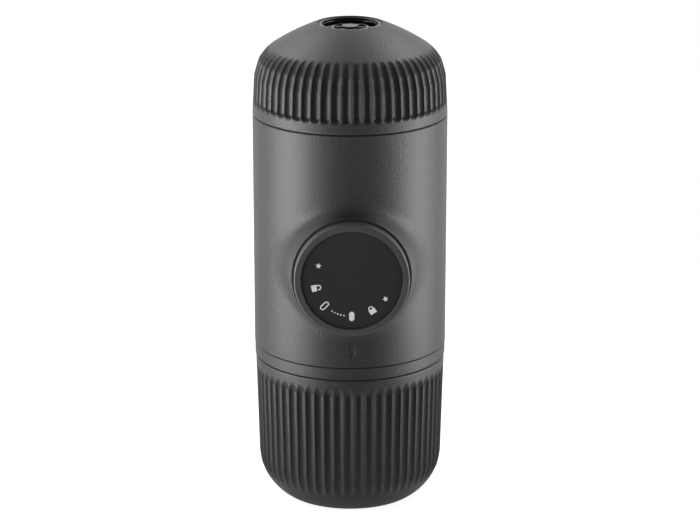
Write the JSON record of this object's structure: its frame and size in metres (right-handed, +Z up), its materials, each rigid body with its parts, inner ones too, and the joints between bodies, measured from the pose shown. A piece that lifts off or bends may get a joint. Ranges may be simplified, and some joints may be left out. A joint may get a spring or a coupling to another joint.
{
  "type": "handheld manual espresso maker",
  "caption": "Handheld piston-pump espresso maker: ribbed cup over a water tank, plain body with a turn-to-unlock pump knob, filter basket, ribbed screw-on outlet head.",
  "frame": {"origin": "centre of the cup's flat foot, on the main axis, on the surface the maker stands on", "axes": "+Z up the main axis towards the outlet; -Y out of the pump knob, which is the front; +X to the viewer's right when facing the knob"},
  "size_m": [0.062, 0.071, 0.156],
  "materials": {
    "shell_plastic": "dark grey, fine spark-textured, matte",
    "tank_plastic": "dark grey, fine spark-textured, matte",
    "knob_plastic": "dark grey, satin rim",
    "plate_plastic": "near-black with white printed marks",
    "gloss_black": "polished black",
    "inner_plastic": "black, moulded",
    "tube": "milky food-grade tube",
    "steel": "stainless, fine brushed",
    "spring_steel": "stainless wire",
    "seal": "soft silicone"
  },
  "bodies": {
    "cup": {"cup": "shell_plastic"},
    "tank": {"water_tank": "tank_plastic", "cup_o_ring": "seal"},
    "gasket": {"tank_gasket": "seal"},
    "main_body": {"body_shell": "shell_plastic", "tank_socket": "inner_plastic", "deck_screws": "steel", "air_valve": "seal", "base_plate": "inner_plastic", "frame_posts": "inner_plastic", "top_plate": "inner_plastic", "pump_block": "inner_plastic", "pump_barrel": "steel", "rod_guide": "inner_plastic", "sleeve_retainer": "inner_plastic", "retainer_screws": "steel", "inlet_seat": "inner_plastic", "inlet_spring": "spring_steel", "outlet_seat": "inner_plastic", "outlet_spring": "spring_steel", "valve_cap": "inner_plastic", "intake_tube": "tube", "intake_strainer": "inner_plastic", "group_housing": "inner_plastic", "group_screws": "steel", "shower_plate": "steel", "shower_screw": "steel", "shower_seal": "seal"},
    "lock_sleeve": {"lock_sleeve": "inner_plastic", "return_spring": "spring_steel"},
    "piston": {"piston_knob": "knob_plastic", "face_plate": "plate_plastic", "knob_screw": "steel", "piston_rod": "steel", "piston_seals": "seal"},
    "inlet_ball": {"inlet_ball": "steel"},
    "outlet_ball": {"outlet_ball": "steel"},
    "filter_basket": {"filter_basket": "inner_plastic", "basket_screen": "steel"},
    "head_seal": {"head_seal": "seal"},
    "outlet_head": {"outlet_head": "shell_plastic", "coffee_funnel": "inner_plastic", "nozzle": "gloss_black", "crema_spring": "spring_steel"},
    "crema_valve": {"crema_valve": "inner_plastic"}
  },
  "joints": [
    {"name": "cup_pull", "type": "slide", "parent": "cup", "child": "tank", "axis": [0, 0, 1], "range_m": [0, 0.05]},
    {"name": "tank_thread_lift", "type": "slide", "parent": "tank", "child": "gasket", "axis": [0, 0, 1], "range_m": [0, 0.007]},
    {"name": "tank_twist", "type": "hinge", "parent": "gasket", "child": "main_body", "pos_m": [0, 0, 0.0515], "axis": [0, 0, 1], "range_deg": [0, 360]},
    {"name": "knob_turn", "type": "hinge", "parent": "main_body", "child": "lock_sleeve", "pos_m": [0, 0, 0.0834], "axis": [0, -1, 0], "range_deg": [0, 45]},
    {"name": "pump_stroke", "type": "slide", "parent": "lock_sleeve", "child": "piston", "axis": [0, -1, 0], "range_m": [0, 0.014], "deforming": ["return_spring"]},
    {"name": "inlet_ball_lift", "type": "slide", "parent": "main_body", "child": "inlet_ball", "axis": [0, 0, 1], "range_m": [0, 0.001], "stiffness_N_per_m": 50, "springref_m": -0.002, "deforming": ["inlet_spring"]},
    {"name": "outlet_ball_lift", "type": "slide", "parent": "main_body", "child": "outlet_ball", "axis": [0, 0, 1], "range_m": [0, 0.001], "stiffness_N_per_m": 50, "springref_m": -0.002, "deforming": ["outlet_spring"]},
    {"name": "basket_lift", "type": "slide", "parent": "main_body", "child": "filter_basket", "axis": [0, 0, 1], "range_m": [0, 0.027]},
    {"name": "head_thread_lift", "type": "slide", "parent": "filter_basket", "child": "head_seal", "axis": [0, 0, 1], "range_m": [0, 0.007]},
    {"name": "head_twist", "type": "hinge", "parent": "head_seal", "child": "outlet_head", "pos_m": [0, 0, 0.127], "axis": [0, 0, 1], "range_deg": [0, 360]},
    {"name": "crema_valve_lift", "type": "slide", "parent": "outlet_head", "child": "crema_valve", "axis": [0, 0, 1], "range_m": [0, 0.0012], "stiffness_N_per_m": 150, "springref_m": -0.002, "deforming": ["crema_spring"]}
  ],
  "couplings": [
    {"joint": "tank_thread_lift", "follows": "tank_twist", "m_per_rad": 0.0011141},
    {"joint": "head_thread_lift", "follows": "head_twist", "m_per_rad": 0.0011141}
  ]
}
